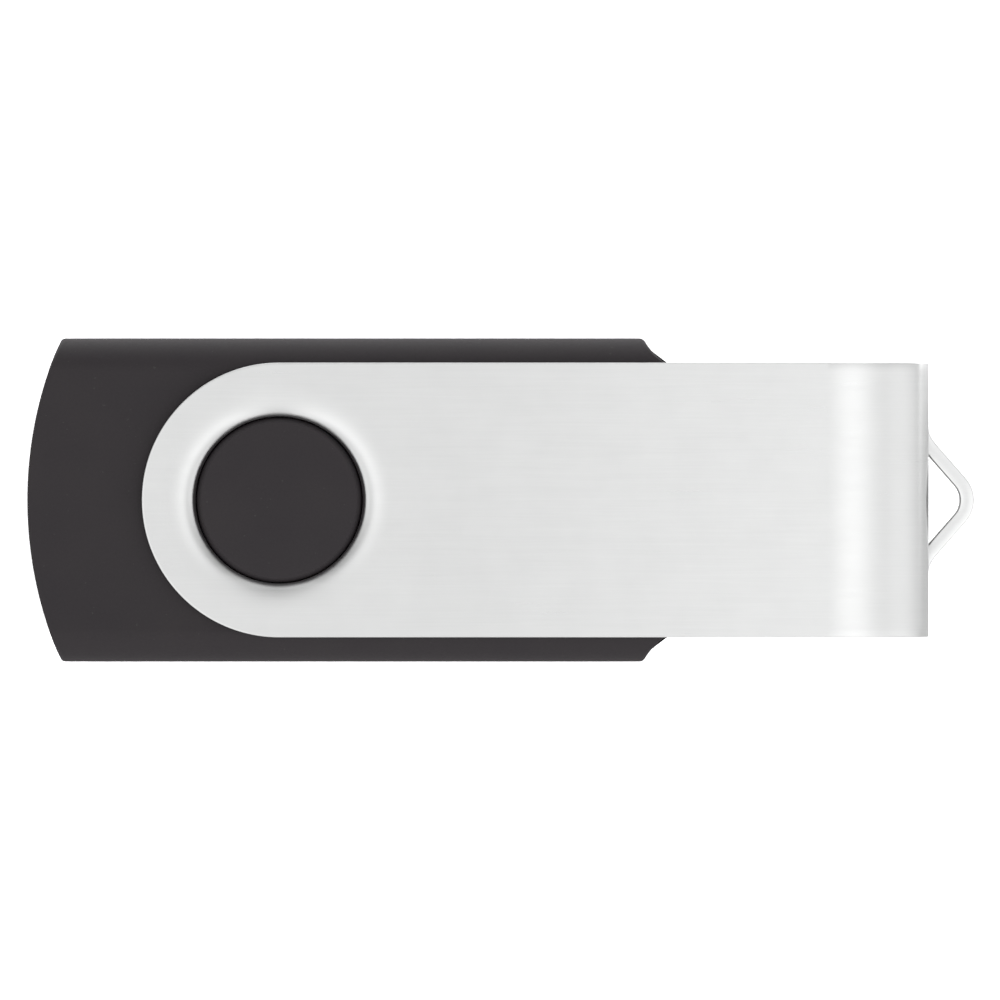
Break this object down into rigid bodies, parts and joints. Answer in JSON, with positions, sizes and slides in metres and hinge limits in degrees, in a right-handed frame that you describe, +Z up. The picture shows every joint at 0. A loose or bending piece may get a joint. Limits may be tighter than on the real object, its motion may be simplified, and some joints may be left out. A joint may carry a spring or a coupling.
{
  "type": "usb flash drive",
  "caption": "Swivel USB flash drive: flat black plastic case with a USB-A plug, covered by a folded brushed aluminium clip that turns on round bosses and ends in a lanyard loop.",
  "frame": {"origin": "on the swivel axis, in the plane the drive rests on: the centre of the lower pivot boss's face", "axes": "+X along the plug towards its mouth, where the clip's bend and lanyard loop are when closed; +Y across the drive; +Z up the swivel axis"},
  "size_m": [0.0553, 0.0188, 0.0106],
  "materials": {
    "case_plastic": "fine-textured black moulding",
    "clip_aluminium": "brushed along its length, clear anodised",
    "plug_nickel": "satin nickel plate",
    "tongue_plastic": "smooth white moulding",
    "contact_gold": "gold flash plate",
    "board_mask": "green solder mask",
    "chip_epoxy": "matt black mould compound",
    "crystal_lid": "plated metal lid",
    "capacitor_ceramic": "tan ceramic, tinned ends",
    "resistor_ceramic": "dark ceramic, tinned ends"
  },
  "bodies": {
    "drive": {"top_shell": "case_plastic", "bottom_shell": "case_plastic", "plug_shield": "plug_nickel", "plug_insulator": "tongue_plastic", "plug_contact_power": "contact_gold", "plug_contact_data_minus": "contact_gold", "plug_contact_data_plus": "contact_gold", "plug_contact_ground": "contact_gold", "circuit_board": "board_mask", "flash_memory_chip": "chip_epoxy", "controller_chip": "chip_epoxy", "voltage_regulator": "chip_epoxy", "crystal_oscillator": "crystal_lid", "power_ferrite_bead": "resistor_ceramic", "power_capacitor": "capacitor_ceramic", "controller_capacitor": "capacitor_ceramic", "flash_capacitor": "capacitor_ceramic", "crystal_capacitor_a": "capacitor_ceramic", "crystal_capacitor_b": "capacitor_ceramic", "data_resistor_minus": "resistor_ceramic", "data_resistor_plus": "resistor_ceramic", "reset_resistor": "resistor_ceramic"},
    "clip": {"swivel_clip": "clip_aluminium"}
  },
  "joints": [
    {"name": "swivel", "type": "hinge", "parent": "drive", "child": "clip", "pos_m": [0, 0, 0], "axis": [0, 0, 1], "continuous": true}
  ]
}
